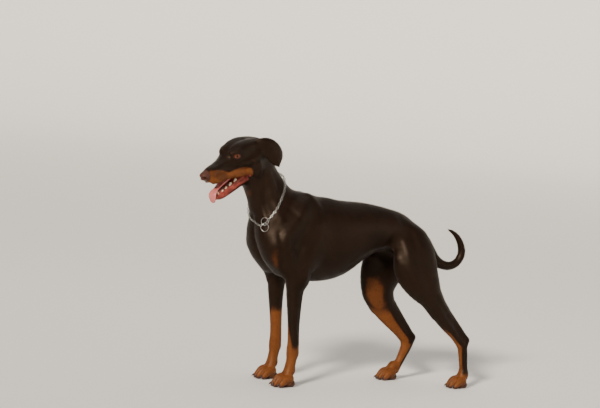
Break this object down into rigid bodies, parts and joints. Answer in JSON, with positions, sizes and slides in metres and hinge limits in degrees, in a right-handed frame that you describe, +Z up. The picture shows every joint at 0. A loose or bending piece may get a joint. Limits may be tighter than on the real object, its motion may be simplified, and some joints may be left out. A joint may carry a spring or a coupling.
{
  "type": "doberman pinscher model",
  "caption": "Life-size standing short-coated dog with an open mouth, folded ears, a curled tail and a chain collar with two rings.",
  "frame": {"origin": "on the floor under the middle of the bounding box", "axes": "+X from the head to the tail, +Y to the dog's right side, +Z up"},
  "size_m": [1.073, 0.2497, 0.8252],
  "materials": {
    "coat": "short glossy chocolate brown fur",
    "coat_rust": "short rust red fur",
    "nose_leather": "moist liver brown skin",
    "flesh": "moist pink",
    "eye": "clear gloss over a brown iris",
    "steel": "bright polished"
  },
  "bodies": {
    "root": {"chest": "coat", "loin": "coat", "rump": "coat", "neck": "coat", "foreleg_left": "coat", "forepaw_left": "coat_rust", "foreleg_right": "coat", "forepaw_right": "coat_rust", "thigh_left": "coat", "gaskin_left": "coat", "hock_left": "coat_rust", "hindpaw_left": "coat_rust", "thigh_right": "coat", "gaskin_right": "coat", "hock_right": "coat_rust", "hindpaw_right": "coat_rust", "tail_root": "coat", "tail_end": "coat", "head": "coat", "lower_jaw": "coat_rust", "tongue": "flesh", "nose": "nose_leather", "eye_left": "eye", "eye_right": "eye", "ear_left": "coat", "ear_right": "coat", "collar_chain": "steel", "collar_ring_1": "steel", "collar_ring_2": "steel"}
  },
  "joints": []
}
